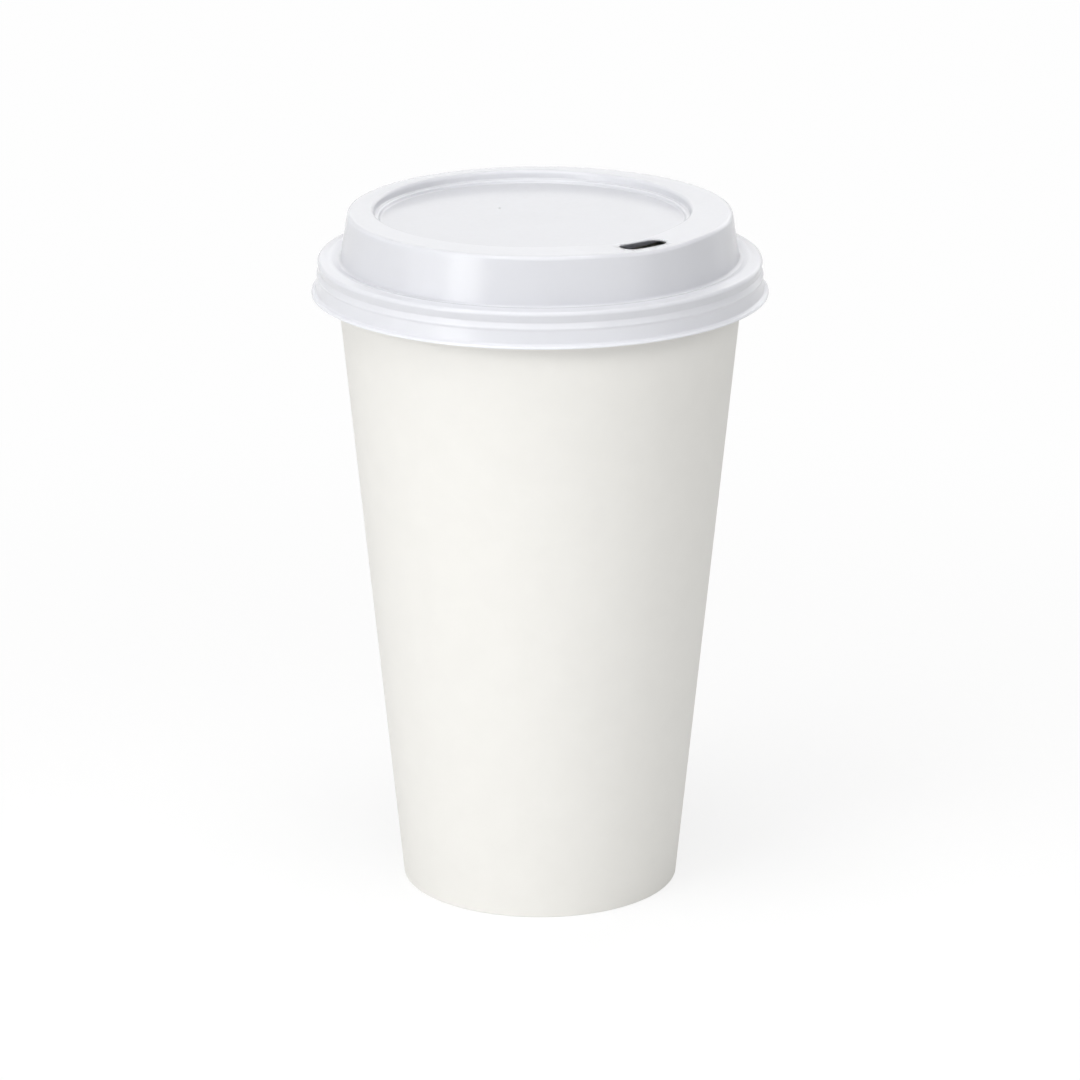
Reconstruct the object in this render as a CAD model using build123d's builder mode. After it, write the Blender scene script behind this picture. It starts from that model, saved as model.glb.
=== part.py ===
from build123d import *
import os
from math import asin, atan2, cos, degrees, hypot, radians, sin, tan

# A single-wall paper hot cup with a snap-on sip lid, in millimetres.
# The cup stands on the XY plane, centred on Z. The lid's sip slot faces -Y,
# and the cut edge of the cup's lapped side seam runs up the back, on +Y.

# Cup: one rolled sidewall blank and one drawn bottom disc, both of paperboard
cup_height = 134.2
rim_diameter = 89.5
base_diameter = 57.8
board = 0.4
curl_diameter = 3.0
curl_turn = 300
foot_round = 0.3
hem_height = 6.5
floor_height = 8.4
floor_bend = 0.5
glue_gap = 0.1
seam_lap = 8.0
seam_ramp = 4.0
seam_end_gap = 0.5

# Lid: one thermoformed sheet, seated on the rim. Each bend is given on its tight side,
# and the shoulder, pinch, bead, tuck and lip are placed from the underside of the rim's curl.
sheet = 0.4
seat_gap = 0.3
ramp_slope = 14.0
crest_gap = 0.5
dome_height = 8.95
dome_draft = 9.3
dome_edge_bend = 0.5
moat_set_in = 0.78
moat_bend = 0.8
crest_inner_bend = 1.6
crest_outer_bend = 1.1
shoulder_gap = 0.7
shoulder_rise = 2.1
shoulder_bend = 0.6
pinch_gap = 0.3
pinch_rise = 0.8
pinch_bend = 0.5
bead_gap = 0.75
bead_drop = 0.35
bead_bend = 0.1
tuck_gap = 0.65
tuck_drop = 0.8
tuck_bend = 0.25
lip_drop = 3.95
lip_flare = 2.25
lip_width = 0.45
lip_rise = 0.85
lip_height = 0.4
lip_root_bend = 0.3
lip_bend = 0.1

# Lid top: a land round an eccentric stepped recess, with the sip slot in a dip and a vent
land_wide = 9.4
land_narrow = 4.05
recess_draft = 12.0
recess_edge_bend = 0.4
recess_foot_bend = 0.4
ledge_depth = 1.65
ledge_width = 0.8
ledge_edge_bend = 0.1
panel_depth = 2.35
panel_draft = 20.0
panel_bend = 0.5
dip_width = 33.0
dip_depth = 0.45
slot_length = 10.7
slot_width = 4.9
slot_set_in = 5.2
vent_diameter = 0.8
vent_radius = 13.9

# Length by which a cutting shape runs past what it cuts
overrun = 2.0

# The wall's section leans out in a straight line from the foot to the rim's curl
base_radius = base_diameter / 2
rim_radius = rim_diameter / 2
curl_radius = curl_diameter / 2
curl_core = curl_radius - board
curl_r = rim_radius - curl_radius
curl_z = cup_height - curl_radius
wall_lean = atan2(curl_r - base_radius, curl_z) - asin(curl_core / hypot(curl_r - base_radius, curl_z))


def wall_point(depth, height):
    """The point at a height on the line that lies a depth inside the wall's outer face."""
    return base_radius + height * tan(wall_lean) - depth / cos(wall_lean), height


def curl_point(radius, turn):
    """The point on the curl at a radius from its centre, a turn in degrees on from the wall."""
    out = -radius * cos(radians(turn))
    up = radius * sin(radians(turn))
    r = curl_r + out * cos(wall_lean) + up * sin(wall_lean)
    z = curl_z - out * sin(wall_lean) + up * cos(wall_lean)
    return r, z


def curl_arc(radius):
    """The rolled rim's arc at a radius from its centre, from the wall round to its free edge."""
    return ThreePointArc(
        curl_point(radius, 0),
        curl_point(radius, curl_turn / 2),
        curl_point(radius, curl_turn),
    )


def seam_point(depth, height, across):
    """A point at a depth in the wall, a distance across from the seam's cut edge at mid height."""
    angle = across / wall_point(0, cup_height / 2)[0]
    r = wall_point(depth, height)[0]
    return Vector(-r * sin(angle), r * cos(angle), height)


# Seam: the blank's outer end laps over its inner end, and ramps down to the wall beyond it
with BuildPart() as side_seam:
    seam_foot = foot_round + seam_end_gap
    seam_top = curl_z - curl_radius - seam_end_gap
    with BuildSketch(Plane.YZ):
        with BuildLine():
            Polyline(
                wall_point(board / 2, seam_foot),
                wall_point(-board, seam_foot),
                wall_point(-board, seam_top),
                wall_point(board / 2, seam_top),
                close=True,
            )
        make_face()
    seam_turn = degrees((seam_lap + 2 * seam_ramp) / wall_point(0, cup_height / 2)[0])
    revolve(axis=Axis.Z, revolution_arc=seam_turn)
    ramp_top = seam_point(-board, seam_top, seam_lap)
    ramp_foot = seam_point(-board, seam_foot, seam_lap)
    ramp_end = seam_point(0, seam_foot, seam_lap + seam_ramp)
    ramp_up = ramp_top - ramp_foot
    split(bisect_by=Plane(ramp_foot, x_dir=ramp_up, z_dir=ramp_up.cross(ramp_end - ramp_foot)))

# Sidewall: the hem folded up inside the foot, the leaning wall and the rolled rim
hem_outside = 2 * board + 2 * glue_gap
hem_inside = hem_outside + board
with BuildPart() as cup_sidewall:
    with BuildSketch(Plane.XZ) as wall_section:
        with BuildLine():
            inner_arc = curl_arc(curl_core)
            outer_arc = curl_arc(curl_radius)
            Line(inner_arc @ 1, outer_arc @ 1)
            Polyline(
                outer_arc @ 0,
                wall_point(board, board),
                wall_point(hem_outside, board),
                wall_point(hem_outside, hem_height),
                wall_point(hem_inside, hem_height),
                wall_point(hem_inside, 0),
                wall_point(0, 0),
                inner_arc @ 0,
            )
        make_face()
        fillet(wall_section.vertices().group_by(Axis.Y)[0], radius=foot_round)
    revolve(axis=Axis.Z)
    add(side_seam.part)

# Bottom: a disc whose flange is turned down between the wall and its hem
flange_outside = board + glue_gap
flange_inside = flange_outside + board
flange_foot = board + glue_gap
floor_underside = floor_height - board
with BuildPart() as cup_bottom:
    with BuildSketch(Plane.XZ):
        with BuildLine():
            FilletPolyline(
                (0, floor_height),
                wall_point(flange_outside, floor_height),
                wall_point(flange_outside, flange_foot),
                wall_point(flange_inside, flange_foot),
                wall_point(flange_inside, floor_underside),
                (0, floor_underside),
                radius=[floor_bend + board, 0, 0, floor_bend],
            )
            Line((0, floor_underside), (0, floor_height))
        make_face()
    revolve(axis=Axis.Z)

# Heights and radii of the lid's outside, which follow the rim that it is seated on.
# Inside its crest a ramp slopes down to a moat, a seat gap clear of the rim's curl.
crest_z = cup_height + crest_gap + sheet
land_z = crest_z + dome_height
top_z = land_z + overrun
curl_foot_z = cup_height - curl_diameter
shoulder_z = curl_foot_z + shoulder_rise
pinch_z = curl_foot_z + pinch_rise
bead_z = curl_foot_z - bead_drop
tuck_z = curl_foot_z - tuck_drop
lip_z = curl_foot_z - lip_drop
ramp_over_curl_z = curl_z + (curl_radius + seat_gap + sheet) / cos(radians(ramp_slope))
moat_radius = rim_radius - curl_diameter - moat_set_in
moat_z = ramp_over_curl_z - (curl_r - moat_radius) * tan(radians(ramp_slope))
crest_radius = curl_r + (crest_z - ramp_over_curl_z) / tan(radians(ramp_slope))
shoulder_radius = rim_radius + shoulder_gap + sheet
pinch_radius = rim_radius + pinch_gap + sheet
bead_radius = rim_radius + bead_gap + sheet
tuck_radius = rim_radius + tuck_gap + sheet
lip_radius = rim_radius + lip_flare


def dome_radius(height):
    """Radius of the dome's tapered wall at a height."""
    return moat_radius - (height - moat_z) * tan(radians(dome_draft))


land_radius = dome_radius(land_z)
recess_offset = (land_wide - land_narrow) / 2
recess_mouth = land_radius - (land_wide + land_narrow) / 2
ledge_z = land_z - ledge_depth
panel_z = land_z - panel_depth


def recess_radius(height):
    """Radius of the recess's tapered wall at a height, about the recess's own axis."""
    return recess_mouth + (height - land_z) * tan(radians(recess_draft))


ledge_inside = recess_radius(ledge_z) - ledge_width
panel_radius = ledge_inside - (ledge_z - panel_z) * tan(radians(panel_draft))


def land_edges(form, floor_z):
    """The curved edges on both sides of the land, where it is flat and where it dips."""
    curved = form.edges().filter_by(GeomType.LINE, reverse=True)
    return curved.filter_by(lambda edge: edge.bounding_box().min.Z > floor_z - 2 * dip_depth)


def beyond_land_middle(edge):
    """Whether an edge lies on the outer side of the land, at the dome's wall."""
    middle = edge.position_at(1 / 2)
    return hypot(middle.X, middle.Y) > land_radius - land_narrow / 2


def lid_form(inset):
    """The lid's outside as a solid or, with the sheet's thickness as an inset, the space inside it."""
    floor_z = land_z - inset
    foot_z = lip_z - inset
    with BuildPart() as form:
        # Dome, moat, ramp, rounded shoulder, pinch, bead and flared skirt with its lip
        with BuildSketch(Plane.XZ):
            with BuildLine():
                FilletPolyline(
                    (0, top_z),
                    (dome_radius(top_z), top_z),
                    (moat_radius, moat_z),
                    (crest_radius, crest_z),
                    (shoulder_radius, crest_z),
                    (shoulder_radius, shoulder_z),
                    (pinch_radius, pinch_z),
                    (bead_radius, bead_z),
                    (tuck_radius, tuck_z),
                    (lip_radius - lip_width, lip_z + lip_rise),
                    (lip_radius, lip_z + lip_height),
                    (lip_radius, foot_z),
                    (0, foot_z),
                    radius=[
                        0,
                        moat_bend,
                        crest_inner_bend + sheet,
                        crest_outer_bend + sheet,
                        shoulder_bend + sheet,
                        pinch_bend,
                        bead_bend + sheet,
                        tuck_bend,
                        lip_root_bend,
                        lip_bend + sheet,
                        0,
                    ],
                )
                Line((0, foot_z), (0, top_z))
            make_face()
            mirror(about=Plane.YZ)
            if inset:
                offset(amount=-inset)
            split(bisect_by=Plane.YZ)
        revolve(axis=Axis.Z)
        if inset:
            extrude(form.faces().sort_by(Axis.Z)[0], amount=overrun)

        # Land: flat, apart from a shallow dip where the lips meet the slot
        with BuildSketch(Plane.XZ):
            with BuildLine():
                right = TangentArc(
                    (dip_width / 2, floor_z),
                    (dip_width / 4, floor_z - dip_depth / 2),
                    tangent=(-1, 0),
                )
                middle = TangentArc(right @ 1, (-dip_width / 4, floor_z - dip_depth / 2), tangent=right % 1)
                left = TangentArc(middle @ 1, (-dip_width / 2, floor_z), tangent=middle % 1)
                Polyline(
                    left @ 1,
                    (-lip_radius, floor_z),
                    (-lip_radius, top_z + overrun),
                    (lip_radius, top_z + overrun),
                    (lip_radius, floor_z),
                    right @ 0,
                )
            make_face()
        extrude(amount=lip_radius, mode=Mode.SUBTRACT)
        with BuildSketch(Plane.XY.offset(floor_z)):
            Rectangle(2 * lip_radius, lip_radius, align=(Align.CENTER, Align.MIN))
        extrude(amount=top_z + overrun - floor_z, mode=Mode.SUBTRACT)

        # Recess: a tapered wall down to a narrow ledge, then a step down to the flat panel
        with BuildSketch(Plane.XZ.offset(-recess_offset)):
            with BuildLine():
                FilletPolyline(
                    (0, top_z),
                    (recess_radius(top_z), top_z),
                    (recess_radius(ledge_z), ledge_z),
                    (ledge_inside, ledge_z),
                    (panel_radius, panel_z),
                    (0, panel_z),
                    radius=[0, recess_foot_bend, ledge_edge_bend + sheet, panel_bend],
                )
                Line((0, panel_z), (0, top_z))
            make_face()
            mirror(about=Plane.YZ)
            if inset:
                offset(amount=inset)
            split(bisect_by=Plane.YZ)
        revolve(axis=Axis((0, recess_offset, 0), (0, 0, 1)), mode=Mode.SUBTRACT)

        # Rounded edges on both sides of the land
        outer_edges = land_edges(form, floor_z).filter_by(beyond_land_middle)
        fillet(outer_edges, radius=dome_edge_bend + sheet - inset)
        mouth_edges = land_edges(form, floor_z).filter_by(beyond_land_middle, reverse=True)
        fillet(mouth_edges, radius=recess_edge_bend + sheet - inset)
    return form.part


# Lid: the sheet between its outside and its inside, punched for the slot and the vent
with BuildPart() as lid:
    add(lid_form(0))
    add(lid_form(sheet), mode=Mode.SUBTRACT)
    with BuildSketch(Plane.XY.offset(land_z - dip_depth - sheet - overrun)):
        with Locations((0, slot_set_in - land_radius)):
            SlotOverall(slot_length, slot_width)
    extrude(amount=dip_depth + sheet + 2 * overrun, mode=Mode.SUBTRACT)
    with BuildSketch(Plane.XY.offset(panel_z - sheet - overrun)):
        with Locations((0, vent_radius)):
            Circle(vent_diameter / 2)
    extrude(amount=sheet + 2 * overrun, mode=Mode.SUBTRACT)

os.makedirs("parts", exist_ok=True)
cup_sidewall.part.label = "cup_sidewall"
export_step(cup_sidewall.part, "parts/cup_sidewall.step")
cup_bottom.part.label = "cup_bottom"
export_step(cup_bottom.part, "parts/cup_bottom.step")
lid.part.label = "lid"
export_step(lid.part, "parts/lid.step")
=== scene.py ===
from math import asin, atan2, ceil, cos, hypot, pi, radians, sin, tan

import bmesh
import bpy
from mathutils import Matrix, Vector


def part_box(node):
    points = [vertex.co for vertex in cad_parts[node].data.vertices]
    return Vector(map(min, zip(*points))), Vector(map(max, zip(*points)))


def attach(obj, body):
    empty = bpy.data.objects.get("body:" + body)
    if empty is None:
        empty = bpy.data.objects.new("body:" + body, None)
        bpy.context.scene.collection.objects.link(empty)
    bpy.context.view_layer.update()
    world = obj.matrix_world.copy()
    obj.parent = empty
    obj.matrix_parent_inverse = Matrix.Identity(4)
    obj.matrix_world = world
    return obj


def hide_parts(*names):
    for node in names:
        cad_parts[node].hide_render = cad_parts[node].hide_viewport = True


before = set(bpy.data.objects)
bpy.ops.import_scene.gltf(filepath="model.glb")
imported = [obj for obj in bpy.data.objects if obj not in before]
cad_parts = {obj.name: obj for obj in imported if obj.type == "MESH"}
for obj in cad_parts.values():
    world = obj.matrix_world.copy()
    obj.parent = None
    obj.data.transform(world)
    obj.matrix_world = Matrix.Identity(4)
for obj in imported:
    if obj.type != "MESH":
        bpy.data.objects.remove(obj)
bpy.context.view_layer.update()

# Sizes are in metres. The cup's height and rim and the lid's top and lip come from the frame.
wall_low, wall_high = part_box("cup_sidewall")
lid_low, lid_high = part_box("lid")
cup_height = wall_high.z
rim_radius = wall_high.x
land_z = lid_high.z
lip_z = lid_low.z

# Cup: the rolled sidewall and the drawn bottom
base_radius = 0.0289
board = 0.0004
curl_radius = 0.0015
curl_turn = radians(300)
foot_round = 0.0003
hem_height = 0.0065
floor_height = 0.0084
floor_bend = 0.0005
glue_gap = 0.0001
seam_lap = 0.008
seam_ramp = 0.004
seam_fade = 0.003
seam_cut_width = 0.00003

# Lid: the formed sheet, each bend on its tight side. Round the dome runs a moat, whose ramp rises
# to a crest over the rim. From there the brow slopes down to the shoulder's edge, and the face below
# it goes in to the pinch, out to the bead, in to the tuck, and down the skirt to the lip.
sheet = 0.0004
seat_gap = 0.0001
ramp_slope = radians(18)
brow_slope = radians(10)
dome_set_in = 0.00075
dome_draft = radians(9.3)
dome_edge_bend = 0.0005
moat_bend = 0.0006
brow_gap = 0.00065
brow_bend = 0.0004
pinch_gap = 0.0003
pinch_rise = 0.001
pinch_bend = 0.0005
bead_gap = 0.00078
bead_drop = 0.00015
bead_bend = 0.0001
tuck_gap = 0.00066
tuck_drop = 0.0006
tuck_bend = 0.0004
lip_flare = 0.00225
lip_width = 0.0009
lip_rise = 0.0007
lip_height = 0.00042
lip_root_bend = 0.0004
lip_bend = 0.0001

# Lid top: the land, its eccentric stepped recess, the dip with the sip slot, and the vent
land_wide = 0.0094
land_narrow = 0.00405
recess_draft = radians(12)
recess_edge_bend = 0.0004
recess_foot_bend = 0.0004
ledge_depth = 0.00165
ledge_width = 0.0008
ledge_edge_bend = 0.0001
panel_depth = 0.00235
panel_draft = radians(20)
panel_bend = 0.0005
dip_width = 0.033
dip_depth = 0.00045
slot_length = 0.0107
slot_width = 0.0049
slot_set_in = 0.0052
vent_diameter = 0.0008
vent_radius = 0.0139

# Fineness of the meshes
around = 288
arc_step = radians(7)
curl_steps = 30
wall_rows = 24
dip_strips = 32
slot_end_sides = 48
vent_sides = 24
edge_band = 0.00012
tiny = 1e-6
crease_angle = radians(40)

# Finishes
noise_low = 0.3
noise_high = 0.7
board_roughness_change = 0.03
fibre_relief = 0.00004
lid_light = (0.70, 0.707, 0.745)
lid_dark = (0.68, 0.687, 0.724)
lid_roughness = 0.21
lid_roughness_change = 0.02
lid_ripple_relief = 0.00003
lid_ior = 1.5
lid_shine_through = 0.7
lid_light_depth = 0.001
# Painted shade: the recessed panel's colour is scaled down to this share.
panel_painted_shade = 0.95

# Stage
floor_radius = 4
floor_sides = 96
stage_white = (0.99, 0.99, 0.99, 1)
bounce_grey = (0.9, 0.9, 0.9, 1)
shadow_grey = (0.3, 0.3, 0.3, 1)
near_glow = 0.72
shadow_full_radius = 0.1
shadow_end_radius = 0.35
world_strength = 0.16
lamp_distance = 1.3
back_distance = 1.5

# Camera, fitted to the photograph
camera_azimuth = radians(-36.8)
camera_elevation = radians(17.577)
camera_distance = 1.0186
camera_target = Vector((0, 0, 0.07317))
camera_lens = 162.47


def towards(azimuth, elevation):
    """The direction from the object to a viewer at an azimuth, counted from -Y, and an elevation."""
    return Vector((sin(azimuth) * cos(elevation), -cos(azimuth) * cos(elevation), sin(elevation)))


# Sections and meshes


def wire(bm, points):
    """Vertices at (radius, height) points in the XZ plane, joined in a row by edges."""
    verts = [bm.verts.new((r, 0, z)) for r, z in points]
    for start, end in zip(verts, verts[1:]):
        bm.edges.new((start, end))
    return verts


def round_corner(bm, vert, radius):
    """Rounds a corner of a wire to a radius."""
    one, two = [(edge.other_vert(vert).co - vert.co).normalized() for edge in vert.link_edges]
    turn = pi - one.angle(two)
    bmesh.ops.bevel(
        bm,
        geom=[vert],
        offset=radius * tan(turn / 2),
        offset_type="OFFSET",
        segments=max(2, ceil(turn / arc_step)),
        profile=0.5,
        affect="VERTICES",
        material=-1,
    )


def spin_wires(bm, centre=(0, 0, 0)):
    """Turns all loose wires round an upright axis into a surface."""
    edges = [edge for edge in bm.edges if edge.is_wire]
    verts = list(dict.fromkeys(vert for edge in edges for vert in edge.verts))
    bmesh.ops.spin(
        bm,
        geom=verts + edges,
        cent=centre,
        axis=(0, 0, 1),
        angle=2 * pi,
        steps=around,
        use_merge=True,
    )


def with_borders(faces):
    """Faces with their edges and vertices, each once."""
    return list(dict.fromkeys(item for face in faces for item in (face, *face.edges, *face.verts)))


def finish_piece(bm, name, materials):
    """Merges doubles, turns the faces outwards, and makes a smooth object with creased sharp edges."""
    bmesh.ops.remove_doubles(bm, verts=bm.verts, dist=tiny)
    bmesh.ops.recalc_face_normals(bm, faces=bm.faces)
    for face in bm.faces:
        face.smooth = True
    for edge in bm.edges:
        edge.smooth = edge.calc_face_angle(0) < crease_angle
    mesh = bpy.data.meshes.new(name)
    bm.to_mesh(mesh)
    bm.free()
    for material in materials:
        mesh.materials.append(material)
    piece = bpy.data.objects.new(name, mesh)
    bpy.context.scene.collection.objects.link(piece)
    return piece


def even_shading(piece):
    """Lets the large faces set the normals beside narrow bends."""
    modifier = piece.modifiers.new("even_shading", "WEIGHTED_NORMAL")
    modifier.keep_sharp = True
    modifier.weight = 100


# Cup

curl_core = curl_radius - board
curl_r = rim_radius - curl_radius
curl_z = cup_height - curl_radius
curl_reach = hypot(curl_r - base_radius, curl_z)
wall_lean = atan2(curl_r - base_radius, curl_z) - asin(curl_core / curl_reach)
mid_radius = base_radius + cup_height / 2 * tan(wall_lean)


def wall_point(depth, height):
    """The point at a height on the line that lies a depth inside the wall's outer face."""
    return base_radius + height * tan(wall_lean) - depth / cos(wall_lean), height


def curl_wire(bm, radius):
    """The rolled rim's arc at a radius from its centre, as its first and last vertices."""
    start = (curl_r - radius * cos(wall_lean), 0, curl_z + radius * sin(wall_lean))
    first = bm.verts.new(start)
    arc = bmesh.ops.spin(
        bm,
        geom=[first],
        cent=(curl_r, 0, curl_z),
        axis=(0, 1, 0),
        angle=curl_turn,
        steps=curl_steps,
    )
    last = next(item for item in arc["geom_last"] if isinstance(item, bmesh.types.BMVert))
    return first, last


def lap_height(vert):
    """How far the lapped side seam stands out at a vertex of the outer wall."""
    across = -atan2(vert.co.x, vert.co.y) * mid_radius
    rise = min(1, max(0, (seam_lap + seam_ramp - across) / seam_ramp))
    fade = min(1, max(0, (curl_z - curl_radius - vert.co.z) / seam_fade))
    return board * rise * fade if across > -tiny else 0


def lap_seam(bm):
    """Raises the outer end of the blank where it laps over its inner end, with a cut edge at the back."""
    back = [face for face in bm.faces if face.calc_center_median().y > 0]
    bmesh.ops.bisect_plane(
        bm,
        geom=with_borders(back),
        dist=tiny,
        plane_co=(seam_cut_width, 0, 0),
        plane_no=(1, 0, 0),
    )
    for vert in bm.verts:
        radius = hypot(vert.co.x, vert.co.y)
        on_wall = foot_round / 2 < vert.co.z < curl_z - curl_radius
        if vert.co.y > 0 and on_wall and radius > wall_point(board / 2, vert.co.z)[0]:
            share = 1 + lap_height(vert) / radius
            vert.co.x *= share
            vert.co.y *= share


def make_sidewall(materials):
    """The rolled blank: leaning wall, folded hem, rolled rim and lapped seam."""
    hem_outside = 2 * board + 2 * glue_gap
    hem_inside = hem_outside + board
    bm = bmesh.new()
    outer_start, outer_end = curl_wire(bm, curl_core)
    inner_start, inner_end = curl_wire(bm, curl_radius)
    bm.edges.new((outer_end, inner_end))
    section = wire(
        bm,
        [
            wall_point(board, board),
            wall_point(hem_outside, board),
            wall_point(hem_outside, hem_height),
            wall_point(hem_inside, hem_height),
            wall_point(hem_inside, 0),
            wall_point(0, 0),
        ],
    )
    bm.edges.new((inner_start, section[0]))
    bm.edges.new((section[-1], outer_start))
    for corner in section[-2:]:
        round_corner(bm, corner, foot_round)
    walls = [edge for edge in bm.edges if edge.calc_length() > cup_height / 2]
    bmesh.ops.subdivide_edges(bm, edges=walls, cuts=wall_rows)
    spin_wires(bm)
    bmesh.ops.recalc_face_normals(bm, faces=bm.faces)
    for face in bm.faces:
        face.material_index = int(is_coated(face))
    lap_seam(bm)
    return finish_piece(bm, "paper_wall", materials)


def is_coated(face):
    """Whether a face is on the board's coated side: the cup's inside and the outside of its curl."""
    centre = face.calc_center_median()
    radius = hypot(centre.x, centre.y)
    if centre.z > curl_z - curl_radius and radius > wall_point(board / 2, centre.z)[0]:
        return hypot(radius - curl_r, centre.z - curl_z) > curl_radius - board / 2
    return centre.z > board and face.normal.x * centre.x + face.normal.y * centre.y < 0


def make_bottom(materials):
    """The bottom disc, with its flange turned down between the wall and the hem."""
    flange_outside = board + glue_gap
    flange_inside = flange_outside + board
    flange_foot = board + glue_gap
    underside = floor_height - board
    bm = bmesh.new()
    section = wire(
        bm,
        [
            (0, floor_height),
            wall_point(flange_outside, floor_height),
            wall_point(flange_outside, flange_foot),
            wall_point(flange_inside, flange_foot),
            wall_point(flange_inside, underside),
            (0, underside),
        ],
    )
    round_corner(bm, section[1], floor_bend + board)
    round_corner(bm, section[4], floor_bend)
    spin_wires(bm)
    return finish_piece(bm, "paper_bottom", materials)


# Lid

curl_foot_z = cup_height - 2 * curl_radius
seat_bend = curl_radius + seat_gap + sheet
crest_reach = seat_bend / cos((ramp_slope + brow_slope) / 2)
crest_lean = (ramp_slope - brow_slope) / 2
crest_radius = curl_r - crest_reach * sin(crest_lean)
crest_z = curl_z + crest_reach * cos(crest_lean)
brow_radius = rim_radius + brow_gap + sheet
brow_z = crest_z - (brow_radius - crest_radius) * tan(brow_slope)
pinch_radius = rim_radius + pinch_gap + sheet
bead_radius = rim_radius + bead_gap + sheet
tuck_radius = rim_radius + tuck_gap + sheet
lip_radius = rim_radius + lip_flare
dome_radius = rim_radius - 2 * curl_radius - dome_set_in
ramp_start_z = crest_z - crest_radius * tan(ramp_slope)
moat_radius = (dome_radius + (cup_height - ramp_start_z) * tan(dome_draft)) / (
    1 + tan(ramp_slope) * tan(dome_draft)
)
moat_z = ramp_start_z + moat_radius * tan(ramp_slope)
land_radius = dome_radius - (land_z - cup_height) * tan(dome_draft)
recess_offset = (land_wide - land_narrow) / 2
recess_mouth = land_radius - (land_wide + land_narrow) / 2
ledge_z = land_z - ledge_depth
panel_z = land_z - panel_depth
recess_foot = recess_mouth - ledge_depth * tan(recess_draft)
ledge_inside = recess_foot - ledge_width
panel_radius = ledge_inside - (ledge_z - panel_z) * tan(panel_draft)


def edge_run(bend, draft):
    """How far a rounding reaches along a level sheet from its corner with a drafted wall."""
    return bend * tan((pi / 2 - draft) / 2)


def skirt_and_dome(bm):
    """The outside of the lip, skirt, bead, pinch, brow, moat and dome, up to the land's outer edge."""
    land_edge = land_radius - edge_run(dome_edge_bend + sheet, dome_draft)
    section = wire(
        bm,
        [
            (lip_radius, lip_z),
            (lip_radius, lip_z + lip_height),
            (lip_radius - lip_width, lip_z + lip_rise),
            (tuck_radius, curl_foot_z - tuck_drop),
            (bead_radius, curl_foot_z - bead_drop),
            (pinch_radius, curl_foot_z + pinch_rise),
            (brow_radius, brow_z),
            (crest_radius, crest_z),
            (moat_radius, moat_z),
            (land_radius, land_z),
            (land_edge - edge_band, land_z),
        ],
    )
    bends = [
        lip_bend + sheet,
        lip_root_bend,
        tuck_bend,
        bead_bend + sheet,
        pinch_bend,
        brow_bend + sheet,
        seat_bend,
        moat_bend,
        dome_edge_bend + sheet,
    ]
    for corner, bend in zip(section[1:], bends):
        round_corner(bm, corner, bend)
    spin_wires(bm)


def recess(bm):
    """The recess's wall, ledge and step, from the land's inner edge down to the edge of the panel."""
    land_edge = recess_mouth + edge_run(recess_edge_bend + sheet, recess_draft)
    panel_edge = panel_radius - edge_run(panel_bend, panel_draft)
    section = wire(
        bm,
        [
            (land_edge + edge_band, land_z),
            (recess_mouth, land_z),
            (recess_foot, ledge_z),
            (ledge_inside, ledge_z),
            (panel_radius, panel_z),
            (panel_edge - edge_band, panel_z),
        ],
    )
    bends = [recess_edge_bend + sheet, recess_foot_bend, ledge_edge_bend + sheet, panel_bend]
    for vert in bm.verts:
        if vert.is_wire:
            vert.co.y += recess_offset
    for corner, bend in zip(section[1:], bends):
        round_corner(bm, corner, bend)
    spin_wires(bm, centre=(0, recess_offset, 0))


def slot_outline(bm):
    """The sip slot's outline in the land, with round ends."""
    ends = bmesh.ops.create_circle(bm, segments=slot_end_sides, radius=slot_width / 2)["verts"]
    half_side = Matrix.Rotation(pi / slot_end_sides, 3, "Z")
    bmesh.ops.rotate(bm, verts=ends, cent=(0, 0, 0), matrix=half_side)
    half_run = (slot_length - slot_width) / 2
    for vert in ends:
        vert.co.x += half_run if vert.co.x > 0 else -half_run
    bmesh.ops.translate(bm, verts=ends, vec=(0, slot_set_in - land_radius, land_z))


def fill_level(bm, height):
    """Fills the flat sheet between the open outlines that lie at a height."""
    edges = [
        edge
        for edge in bm.edges
        if len(edge.link_faces) < 2 and all(abs(vert.co.z - height) < tiny for vert in edge.verts)
    ]
    bmesh.ops.triangle_fill(bm, edges=edges, use_beauty=True, normal=(0, 0, 1))


def dip_at(x):
    """Depth of the dip round the slot, which runs out smoothly to both sides."""
    across = abs(x) / (dip_width / 2)
    if across < 1 / 2:
        return dip_depth * (1 - 2 * across**2)
    return 2 * dip_depth * max(0, 1 - across) ** 2


def press_dip(bm):
    """Cuts the front of the land into strips, and lowers them and the edges beside them to form the dip."""
    for strip in range(dip_strips + 1):
        front = [
            face
            for face in bm.faces
            if face.calc_center_median().y < 0 and all(abs(vert.co.z - land_z) < tiny for vert in face.verts)
        ]
        cut_x = dip_width * (strip / dip_strips - 1 / 2)
        bmesh.ops.bisect_plane(
            bm,
            geom=with_borders(front),
            dist=tiny,
            plane_co=(cut_x, 0, 0),
            plane_no=(1, 0, 0),
        )
    edge_drop = dome_edge_bend + sheet + edge_band
    for vert in bm.verts:
        if vert.co.y > 0 or vert.co.z < land_z - edge_drop:
            continue
        depth = dip_at(vert.co.x)
        vert.co.z -= depth
        from_axis = Vector((vert.co.x, vert.co.y, 0))
        from_recess = from_axis - Vector((0, recess_offset, 0))
        if from_axis.length > land_radius - edge_drop:
            vert.co += from_axis.normalized() * depth * tan(dome_draft)
        elif from_recess.length < recess_mouth + edge_drop:
            vert.co -= from_recess.normalized() * depth * tan(recess_draft)


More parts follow.
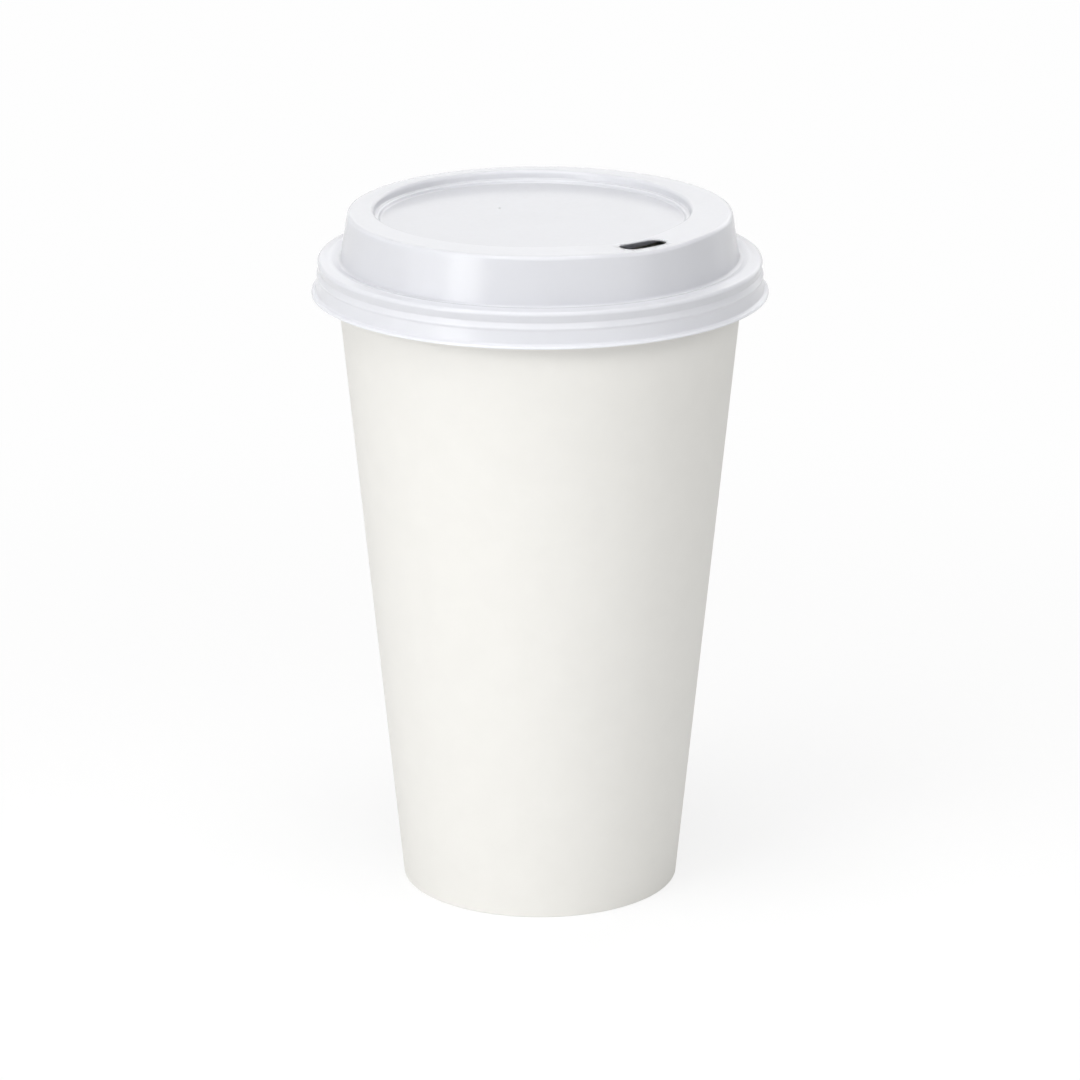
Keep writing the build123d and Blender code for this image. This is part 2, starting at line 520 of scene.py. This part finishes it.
def make_lid(materials):
    """The lid's outside as a skin, given the sheet's thickness on its inside."""
    bm = bmesh.new()
    skirt_and_dome(bm)
    recess(bm)
    slot_outline(bm)
    fill_level(bm, land_z)
    vent = bmesh.ops.create_circle(bm, segments=vent_sides, radius=vent_diameter / 2)["verts"]
    bmesh.ops.translate(bm, verts=vent, vec=(0, vent_radius, panel_z))
    fill_level(bm, panel_z)
    press_dip(bm)
    lid = finish_piece(bm, "sip_lid", materials)
    shell = lid.modifiers.new("sheet", "SOLIDIFY")
    shell.thickness = sheet
    shell.offset = -1
    shell.use_even_offset = True
    return lid


# Materials


def new_material(name):
    """An empty node material with a Principled shader, its node tree and the shader."""
    material = bpy.data.materials.new(name)
    material.use_nodes = True
    return material, material.node_tree, material.node_tree.nodes["Principled BSDF"]


def add_node(tree, kind, inputs=(), **settings):
    """A node with its settings and the values of its inputs."""
    node = tree.nodes.new(kind)
    for key, value in settings.items():
        setattr(node, key, value)
    for key, value in dict(inputs).items():
        node.inputs[key].default_value = value
    return node


def make_fibre_group():
    """Cloudy formation and short fibres of board, as a mask and a height."""
    group = bpy.data.node_groups.new("board_fibres", "ShaderNodeTree")
    group.interface.new_socket("Cloud", in_out="OUTPUT", socket_type="NodeSocketFloat")
    group.interface.new_socket("Height", in_out="OUTPUT", socket_type="NodeSocketFloat")
    place = add_node(group, "ShaderNodeTexCoord")
    cloud = add_node(group, "ShaderNodeTexNoise", {"Scale": 160, "Detail": 4, "Roughness": 0.55})
    fine = add_node(group, "ShaderNodeTexNoise", {"Scale": 2200, "Detail": 3, "Roughness": 0.6})
    stretch = add_node(group, "ShaderNodeMapping", {"Scale": (1, 1, 0.25), "Rotation": (0.3, 0.2, 0)})
    fibres = add_node(group, "ShaderNodeTexNoise", {"Scale": 1500, "Detail": 2, "Roughness": 0.5})
    height = add_node(group, "ShaderNodeMath", operation="ADD")
    out = add_node(group, "NodeGroupOutput")
    link = group.links.new
    link(place.outputs["Object"], cloud.inputs["Vector"])
    link(place.outputs["Object"], fine.inputs["Vector"])
    link(place.outputs["Object"], stretch.inputs["Vector"])
    link(stretch.outputs["Vector"], fibres.inputs["Vector"])
    link(fine.outputs["Fac"], height.inputs[0])
    link(fibres.outputs["Fac"], height.inputs[1])
    link(cloud.outputs["Fac"], out.inputs["Cloud"])
    link(height.outputs["Value"], out.inputs["Height"])
    return group


def let_light_in(shader, share, depth):
    """Lets a share of the light into a sheet, where it spreads over a depth."""
    shader.inputs["Subsurface Weight"].default_value = share
    shader.inputs["Subsurface Radius"].default_value = (1, 1, 1)
    shader.inputs["Subsurface Scale"].default_value = depth


def make_board(name, group, light, dark, roughness, bump, shine_through):
    """Paperboard: faint clouds between two tones, a fibre bump, and a share of light that passes through."""
    material, tree, shader = new_material(name)
    fibres = add_node(tree, "ShaderNodeGroup", node_tree=group)
    tone = add_node(tree, "ShaderNodeMix", data_type="RGBA")
    tone.inputs["A"].default_value = (*dark, 1)
    tone.inputs["B"].default_value = (*light, 1)
    relief = add_node(tree, "ShaderNodeBump", {"Strength": bump, "Distance": fibre_relief})
    spread = add_node(tree, "ShaderNodeMapRange", {"From Min": noise_low, "From Max": noise_high})
    rough = add_node(
        tree,
        "ShaderNodeMapRange",
        {
            "From Min": noise_low,
            "From Max": noise_high,
            "To Min": roughness - board_roughness_change,
            "To Max": roughness + board_roughness_change,
        },
    )
    link = tree.links.new
    link(fibres.outputs["Cloud"], spread.inputs["Value"])
    link(spread.outputs["Result"], tone.inputs["Factor"])
    link(tone.outputs["Result"], shader.inputs["Base Color"])
    link(fibres.outputs["Cloud"], rough.inputs["Value"])
    link(rough.outputs["Result"], shader.inputs["Roughness"])
    link(fibres.outputs["Height"], relief.inputs["Height"])
    link(relief.outputs["Normal"], shader.inputs["Normal"])
    let_light_in(shader, shine_through, board)
    return material


def make_lid_plastic():
    """Glossy white formed sheet, with a faint ripple and changes of gloss, and painted shade that darkens the
    recessed panel.
    """
    material, tree, shader = new_material("lid_sheet")
    place = add_node(tree, "ShaderNodeTexCoord")
    ripple = add_node(tree, "ShaderNodeTexNoise", {"Scale": 110, "Detail": 2, "Roughness": 0.4})
    grain = add_node(tree, "ShaderNodeTexNoise", {"Scale": 900, "Detail": 3, "Roughness": 0.6})
    tone = add_node(tree, "ShaderNodeMix", data_type="RGBA")
    tone.inputs["A"].default_value = (*lid_dark, 1)
    tone.inputs["B"].default_value = (*lid_light, 1)
    gloss = add_node(
        tree,
        "ShaderNodeMapRange",
        {
            "From Min": noise_low,
            "From Max": noise_high,
            "To Min": lid_roughness - lid_roughness_change,
            "To Max": lid_roughness + lid_roughness_change,
        },
    )
    relief = add_node(tree, "ShaderNodeBump", {"Strength": 0.1, "Distance": lid_ripple_relief})
    flat = add_node(tree, "ShaderNodeVectorMath", {1: (1, 1, 0)}, operation="MULTIPLY")
    across = add_node(tree, "ShaderNodeVectorMath", {1: (0, recess_offset, 0)}, operation="DISTANCE")
    # Painted shade: the base colour is darkened inside the recessed panel and fades out across the panel's
    # edge bend.
    painted_panel_shade = add_node(
        tree,
        "ShaderNodeMapRange",
        {
            "From Min": panel_radius - panel_bend,
            "From Max": panel_radius,
            "To Min": panel_painted_shade,
            "To Max": 1,
        },
    )
    shaded_tone = add_node(tree, "ShaderNodeVectorMath", operation="SCALE")
    link = tree.links.new
    link(place.outputs["Object"], flat.inputs[0])
    link(flat.outputs["Vector"], across.inputs[0])
    link(across.outputs["Value"], painted_panel_shade.inputs["Value"])
    link(painted_panel_shade.outputs["Result"], shaded_tone.inputs["Scale"])
    link(tone.outputs["Result"], shaded_tone.inputs[0])
    link(place.outputs["Object"], ripple.inputs["Vector"])
    link(place.outputs["Object"], grain.inputs["Vector"])
    link(ripple.outputs["Fac"], tone.inputs["Factor"])
    link(shaded_tone.outputs["Vector"], shader.inputs["Base Color"])
    link(grain.outputs["Fac"], gloss.inputs["Value"])
    link(gloss.outputs["Result"], shader.inputs["Roughness"])
    link(ripple.outputs["Fac"], relief.inputs["Height"])
    link(relief.outputs["Normal"], shader.inputs["Normal"])
    shader.inputs["IOR"].default_value = lid_ior
    let_light_in(shader, lid_shine_through, lid_light_depth)
    return material


# Pieces

fibre_group = make_fibre_group()
paper = make_board(
    "paper_outside",
    fibre_group,
    light=(0.82, 0.81, 0.776),
    dark=(0.805, 0.795, 0.761),
    roughness=0.8,
    bump=0.25,
    shine_through=0,
)
coated = make_board(
    "paper_coated",
    fibre_group,
    light=(0.84, 0.83, 0.80),
    dark=(0.825, 0.815, 0.785),
    roughness=0.45,
    bump=0.15,
    shine_through=0.5,
)
lid_plastic = make_lid_plastic()

sidewall = make_sidewall([paper, coated])
bottom = make_bottom([coated])
lid = make_lid([lid_plastic])
for piece, body, node, slot in (
    (sidewall, "cup", "cup_sidewall", "paperboard"),
    (bottom, "cup", "cup_bottom", "paperboard"),
    (lid, "lid", "lid", "lid_plastic"),
):
    even_shading(piece)
    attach(piece, body)
    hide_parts(node)


# Stage


def seen_directly(tree):
    """A node that is 1 where a camera, mirror or glass ray sees the stage, and 0 where it only lights."""
    path = add_node(tree, "ShaderNodeLightPath")
    camera_or_mirror = add_node(tree, "ShaderNodeMath", operation="MAXIMUM")
    seen = add_node(tree, "ShaderNodeMath", operation="MAXIMUM")
    tree.links.new(path.outputs["Is Camera Ray"], camera_or_mirror.inputs[0])
    tree.links.new(path.outputs["Is Glossy Ray"], camera_or_mirror.inputs[1])
    tree.links.new(camera_or_mirror.outputs["Value"], seen.inputs[0])
    tree.links.new(path.outputs["Is Transmission Ray"], seen.inputs[1])
    return seen


def make_floor():
    """A white floor that keeps a soft shadow near the object and is plain white further off."""
    bm = bmesh.new()
    bmesh.ops.create_circle(bm, cap_ends=True, segments=floor_sides, radius=floor_radius)
    floor = finish_piece(bm, "floor", [])
    material = bpy.data.materials.new("white_floor")
    material.use_nodes = True
    tree = material.node_tree
    tree.nodes.clear()
    bounce = add_node(tree, "ShaderNodeBsdfDiffuse", {"Color": bounce_grey})
    shadow = add_node(tree, "ShaderNodeBsdfDiffuse", {"Color": shadow_grey})
    white = add_node(tree, "ShaderNodeEmission", {"Color": stage_white, "Strength": near_glow})
    plain = add_node(tree, "ShaderNodeEmission", {"Color": stage_white})
    near = add_node(tree, "ShaderNodeAddShader")
    place = add_node(tree, "ShaderNodeTexCoord")
    distance = add_node(tree, "ShaderNodeVectorMath", operation="LENGTH")
    far = add_node(
        tree,
        "ShaderNodeMapRange",
        {"From Min": shadow_full_radius, "From Max": shadow_end_radius},
        interpolation_type="SMOOTHSTEP",
    )
    shown = add_node(tree, "ShaderNodeMixShader")
    either = add_node(tree, "ShaderNodeMixShader")
    out = add_node(tree, "ShaderNodeOutputMaterial")
    link = tree.links.new
    link(place.outputs["Object"], distance.inputs[0])
    link(distance.outputs["Value"], far.inputs["Value"])
    link(shadow.outputs[0], near.inputs[0])
    link(white.outputs[0], near.inputs[1])
    link(far.outputs["Result"], shown.inputs["Fac"])
    link(near.outputs[0], shown.inputs[1])
    link(plain.outputs[0], shown.inputs[2])
    link(seen_directly(tree).outputs["Value"], either.inputs["Fac"])
    link(bounce.outputs[0], either.inputs[1])
    link(shown.outputs[0], either.inputs[2])
    link(either.outputs[0], out.inputs["Surface"])
    floor.data.materials.append(material)


def make_world():
    """White surroundings, which light the object less than they show."""
    world = bpy.data.worlds.new("surroundings")
    bpy.context.scene.world = world
    world.use_nodes = True
    tree = world.node_tree
    tree.nodes.clear()
    light = add_node(tree, "ShaderNodeBackground", {"Color": (1, 1, 1, 1), "Strength": world_strength})
    white = add_node(tree, "ShaderNodeBackground", {"Color": stage_white})
    either = add_node(tree, "ShaderNodeMixShader")
    out = add_node(tree, "ShaderNodeOutputWorld")
    tree.links.new(seen_directly(tree).outputs["Value"], either.inputs["Fac"])
    tree.links.new(light.outputs[0], either.inputs[1])
    tree.links.new(white.outputs[0], either.inputs[2])
    tree.links.new(either.outputs[0], out.inputs["Surface"])


def make_softbox(name, side, elevation, width, height, watts, distance=lamp_distance):
    """A soft lamp aimed at the cup, at degrees to the right of the camera and degrees of elevation."""
    lamp = bpy.data.lights.new(name, "AREA")
    lamp.shape = "RECTANGLE"
    lamp.size = width
    lamp.size_y = height
    lamp.energy = watts
    softbox = bpy.data.objects.new(name, lamp)
    bpy.context.scene.collection.objects.link(softbox)
    direction = towards(camera_azimuth + radians(side), radians(elevation))
    softbox.location = camera_target + direction * distance
    softbox.rotation_euler = direction.to_track_quat("Z", "Y").to_euler()


def make_camera():
    """The photograph's view."""
    data = bpy.data.cameras.new("camera")
    data.lens = camera_lens
    camera = bpy.data.objects.new("camera", data)
    bpy.context.scene.collection.objects.link(camera)
    direction = towards(camera_azimuth, camera_elevation)
    camera.location = camera_target + direction * camera_distance
    camera.rotation_euler = direction.to_track_quat("Z", "Y").to_euler()
    bpy.context.scene.camera = camera


make_floor()
make_world()
make_softbox("key_core", side=-43, elevation=8, width=0.46, height=1.0, watts=4.4)
make_softbox("key_wide", side=-60, elevation=8, width=1.0, height=1.0, watts=4.4)
make_softbox("key_far", side=-100, elevation=10, width=0.6, height=0.8, watts=0.2)
make_softbox("front_wide", side=0, elevation=36, width=1.4, height=0.5, watts=4.9)
make_softbox("front_low", side=5, elevation=12, width=1.2, height=0.4, watts=0.4)
make_softbox("high_left", side=-50, elevation=60, width=0.7, height=0.5, watts=2.7)
make_softbox("top", side=0, elevation=89, width=0.8, height=0.8, watts=6.8)
make_softbox("right_low", side=45, elevation=5, width=0.8, height=0.6, watts=1.2)
make_softbox("right_mid", side=60, elevation=35, width=0.8, height=0.5, watts=1.6)
make_softbox("right_back", side=135, elevation=6, width=0.6, height=0.6, watts=0.7)
make_softbox("back_right", side=152, elevation=25, width=0.6, height=0.7, watts=1.6, distance=back_distance)
make_softbox("back", side=180, elevation=25, width=0.8, height=0.7, watts=0.9, distance=back_distance)
make_camera()
bpy.context.scene.view_settings.view_transform = "Standard"
